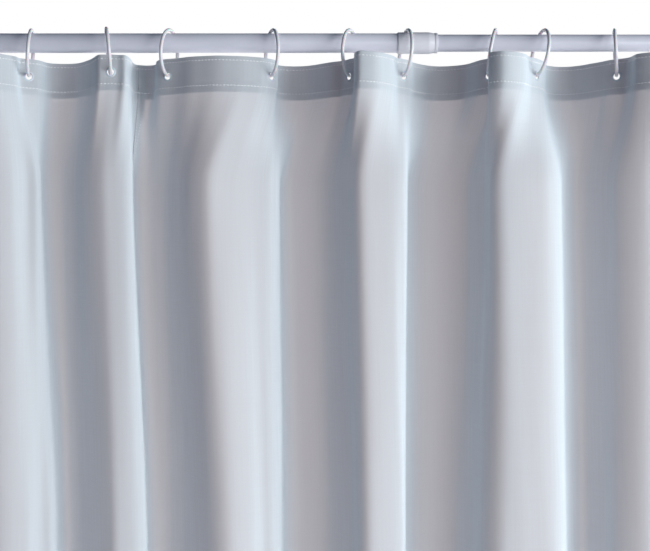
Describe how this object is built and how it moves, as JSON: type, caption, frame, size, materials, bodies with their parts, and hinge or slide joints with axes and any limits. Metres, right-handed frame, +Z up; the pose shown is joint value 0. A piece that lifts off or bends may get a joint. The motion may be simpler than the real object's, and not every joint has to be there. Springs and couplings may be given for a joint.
{
  "type": "shower curtain",
  "caption": "Gathered translucent cloth shower curtain with a double top hem, hung by plastic rings on a two-diameter telescopic tension rod.",
  "frame": {"origin": "centre of the left foot's wall face, on the rod's axis", "axes": "+X along the rod from the left wall to the right one, +Z up, the front of the curtain faces -Y"},
  "size_m": [1.28, 0.1102, 2.0418],
  "materials": {
    "rod_paint": "satin grey-blue enamel",
    "collar_plastic": "satin moulded plastic",
    "cap_plastic": "moulded plastic",
    "ring_plastic": "glossy white moulded plastic",
    "eyelet_plastic": "translucent moulded plastic",
    "curtain_cloth": "satin translucent woven cloth",
    "foot_rubber": "matt rubber",
    "spring_steel": "bright drawn wire"
  },
  "bodies": {
    "rod_outer": {"outer_tube": "rod_paint", "collar": "collar_plastic", "left_end_cap": "cap_plastic", "left_rubber_foot": "foot_rubber", "spring_stop": "cap_plastic", "spindle": "spring_steel", "tension_spring": "spring_steel"},
    "rod_inner": {"inner_tube": "rod_paint", "spring_follower": "cap_plastic", "right_end_cap": "cap_plastic", "right_rubber_foot": "foot_rubber"},
    "ring_01": {"ring_01": "ring_plastic", "eyelet_01": "eyelet_plastic", "curtain_left_width": "curtain_cloth", "curtain_right_width": "curtain_cloth"},
    "ring_02": {"ring_02": "ring_plastic", "eyelet_02": "eyelet_plastic"},
    "ring_03": {"ring_03": "ring_plastic", "eyelet_03": "eyelet_plastic"},
    "ring_04": {"ring_04": "ring_plastic", "eyelet_04": "eyelet_plastic"},
    "ring_05": {"ring_05": "ring_plastic", "eyelet_05": "eyelet_plastic"},
    "ring_06": {"ring_06": "ring_plastic", "eyelet_06": "eyelet_plastic"},
    "ring_07": {"ring_07": "ring_plastic", "eyelet_07": "eyelet_plastic"},
    "ring_08": {"ring_08": "ring_plastic", "eyelet_08": "eyelet_plastic"},
    "ring_09": {"ring_09": "ring_plastic", "eyelet_09": "eyelet_plastic"},
    "ring_10": {"ring_10": "ring_plastic", "eyelet_10": "eyelet_plastic"},
    "ring_11": {"ring_11": "ring_plastic", "eyelet_11": "eyelet_plastic"},
    "ring_12": {"ring_12": "ring_plastic", "eyelet_12": "eyelet_plastic"}
  },
  "joints": [
    {"name": "rod_extension", "type": "slide", "parent": "rod_outer", "child": "rod_inner", "axis": [1, 0, 0], "range_m": [-0.03, 0.12], "deforming": ["tension_spring"]},
    {"name": "curtain_shift", "type": "slide", "parent": "rod_outer", "child": "ring_01", "axis": [1, 0, 0], "range_m": [-0.02, 0.02]},
    {"name": "curtain_draw", "type": "slide", "parent": "ring_01", "child": "ring_12", "axis": [1, 0, 0], "range_m": [-0.6264, 0], "deforming": ["curtain_left_width", "curtain_right_width"]},
    {"name": "ring_02_slide", "type": "slide", "parent": "ring_01", "child": "ring_02", "axis": [1, 0, 0], "range_m": [-0.0569, 0], "deforming": ["curtain_left_width", "curtain_right_width"]},
    {"name": "ring_03_slide", "type": "slide", "parent": "ring_01", "child": "ring_03", "axis": [1, 0, 0], "range_m": [-0.1143, 0], "deforming": ["curtain_left_width", "curtain_right_width"]},
    {"name": "ring_04_slide", "type": "slide", "parent": "ring_01", "child": "ring_04", "axis": [1, 0, 0], "range_m": [-0.1654, 0], "deforming": ["curtain_left_width", "curtain_right_width"]},
    {"name": "ring_05_slide", "type": "slide", "parent": "ring_01", "child": "ring_05", "axis": [1, 0, 0], "range_m": [-0.2442, 0], "deforming": ["curtain_left_width", "curtain_right_width"]},
    {"name": "ring_06_slide", "type": "slide", "parent": "ring_01", "child": "ring_06", "axis": [1, 0, 0], "range_m": [-0.3058, 0], "deforming": ["curtain_left_width", "curtain_right_width"]},
    {"name": "ring_07_slide", "type": "slide", "parent": "ring_01", "child": "ring_07", "axis": [1, 0, 0], "range_m": [-0.3495, 0], "deforming": ["curtain_left_width", "curtain_right_width"]},
    {"name": "ring_08_slide", "type": "slide", "parent": "ring_01", "child": "ring_08", "axis": [1, 0, 0], "range_m": [-0.4189, 0], "deforming": ["curtain_left_width", "curtain_right_width"]},
    {"name": "ring_09_slide", "type": "slide", "parent": "ring_01", "child": "ring_09", "axis": [1, 0, 0], "range_m": [-0.4559, 0], "deforming": ["curtain_left_width", "curtain_right_width"]},
    {"name": "ring_10_slide", "type": "slide", "parent": "ring_01", "child": "ring_10", "axis": [1, 0, 0], "range_m": [-0.5111, 0], "deforming": ["curtain_left_width", "curtain_right_width"]},
    {"name": "ring_11_slide", "type": "slide", "parent": "ring_01", "child": "ring_11", "axis": [1, 0, 0], "range_m": [-0.5723, 0], "deforming": ["curtain_left_width", "curtain_right_width"]}
  ],
  "couplings": [
    {"joint": "ring_02_slide", "follows": "curtain_draw", "ratio": 0.090038},
    {"joint": "ring_03_slide", "follows": "curtain_draw", "ratio": 0.18161},
    {"joint": "ring_04_slide", "follows": "curtain_draw", "ratio": 0.26322},
    {"joint": "ring_05_slide", "follows": "curtain_draw", "ratio": 0.38899},
    {"joint": "ring_06_slide", "follows": "curtain_draw", "ratio": 0.48736},
    {"joint": "ring_07_slide", "follows": "curtain_draw", "ratio": 0.55709},
    {"joint": "ring_08_slide", "follows": "curtain_draw", "ratio": 0.66791},
    {"joint": "ring_09_slide", "follows": "curtain_draw", "ratio": 0.72701},
    {"joint": "ring_10_slide", "follows": "curtain_draw", "ratio": 0.81513},
    {"joint": "ring_11_slide", "follows": "curtain_draw", "ratio": 0.91283}
  ]
}
